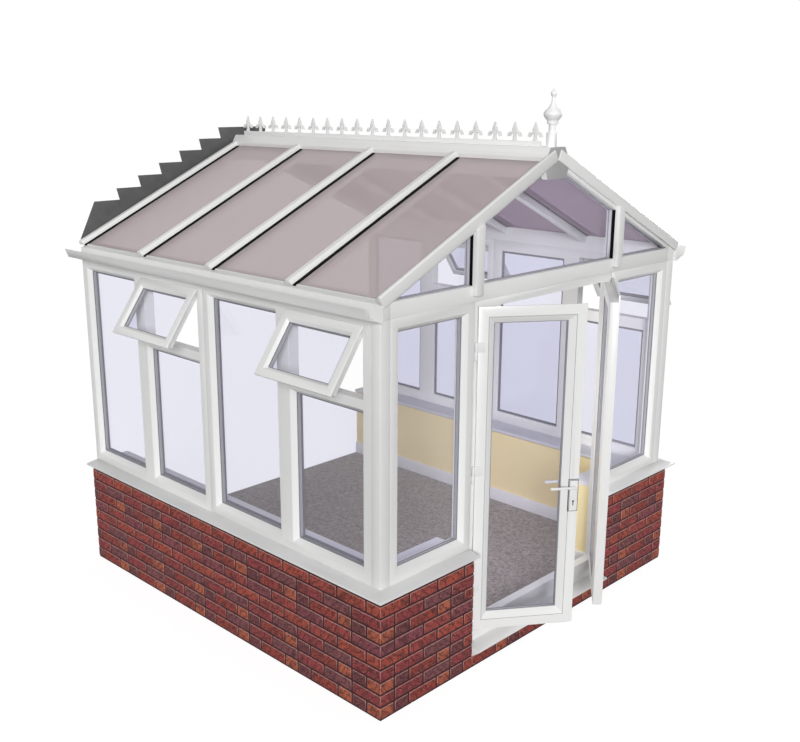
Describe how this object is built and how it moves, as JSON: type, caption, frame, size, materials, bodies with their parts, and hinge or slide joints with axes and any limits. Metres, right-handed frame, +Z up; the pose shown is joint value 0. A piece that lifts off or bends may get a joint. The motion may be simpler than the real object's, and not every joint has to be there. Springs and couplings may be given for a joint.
{
  "type": "dwarf wall conservatory",
  "caption": "Gable-fronted white uPVC conservatory on dwarf brick walls, with outward-opening French doors, fanlights, tinted glass roof, ridge cresting and an open house side.",
  "frame": {"origin": "ground level at the middle of the brickwork's plan, on the underside of the floor slab", "axes": "+Z up, -Y out through the doors at the front, +Y towards the house side, +X to the right seen from the front"},
  "size_m": [3.2068, 3.2106, 3.238],
  "materials": {
    "brick": "rough wire-cut facing brick",
    "concrete": "floated concrete",
    "carpet": "short loop pile",
    "plaster": "matt cream paint on plaster",
    "white_paint": "satin white paint",
    "white_upvc": "smooth white uPVC",
    "grey_trim": "grey moulded end plate",
    "clear_glass": "clear double glazing",
    "tinted_glass": "bronze tinted glazing",
    "lead": "dull lead sheet",
    "white_metal": "white powder coat"
  },
  "bodies": {
    "building": {"left_dwarf_wall": "brick", "right_dwarf_wall": "brick", "front_left_dwarf_wall": "brick", "front_right_dwarf_wall": "brick", "door_threshold_course": "brick", "floor_slab": "concrete", "carpet": "carpet", "wall_plaster": "plaster", "skirting_boards": "white_paint", "window_boards": "white_upvc", "left_cill": "white_upvc", "right_cill": "white_upvc", "front_cills": "white_upvc", "door_cill": "white_upvc", "corner_posts": "white_upvc", "left_front_window_frame": "white_upvc", "left_rear_window_frame": "white_upvc", "right_front_window_frame": "white_upvc", "right_rear_window_frame": "white_upvc", "front_window_frames": "white_upvc", "fanlight_sashes": "white_upvc", "door_frame": "white_upvc", "eaves_beams": "white_upvc", "front_beam": "white_upvc", "left_gutter": "white_upvc", "right_gutter": "white_upvc", "left_roof_bars": "white_upvc", "right_roof_bars": "white_upvc", "left_gable_rafter": "white_upvc", "right_gable_rafter": "white_upvc", "gable_bars": "white_upvc", "ridge": "white_upvc", "ridge_cresting": "white_upvc", "finial": "white_upvc", "ridge_end": "grey_trim", "left_window_glass": "clear_glass", "right_window_glass": "clear_glass", "front_window_glass": "clear_glass", "fanlight_glass": "clear_glass", "gable_glass": "clear_glass", "left_roof_glass": "tinted_glass", "right_roof_glass": "tinted_glass", "step_flashing": "lead", "jamb_hinges": "white_metal"},
    "left_door": {"left_door_leaf": "white_upvc", "left_door_glass": "clear_glass", "left_door_hinges": "white_metal", "lock_plates": "white_metal"},
    "right_door": {"right_door_leaf": "white_upvc", "right_door_glass": "clear_glass", "right_door_hinges": "white_metal"},
    "door_lever": {"lever_handle": "white_metal"}
  },
  "joints": [
    {"name": "left_door_hinge", "type": "hinge", "parent": "building", "child": "left_door", "pos_m": [-0.65379, -1.39, 1.16], "axis": [0, 0, -1], "range_deg": [-36, 54]},
    {"name": "right_door_hinge", "type": "hinge", "parent": "building", "child": "right_door", "pos_m": [0.65379, -1.39, 1.16], "axis": [0, 0, 1], "range_deg": [-36, 54]},
    {"name": "lever_turn", "type": "hinge", "parent": "left_door", "child": "door_lever", "pos_m": [-0.18432, -1.73108, 1.071], "axis": [-0.5878, -0.809, 0], "range_deg": [0, 40], "stiffness_Nm_per_rad": 1.5, "springref_deg": -17.19}
  ]
}
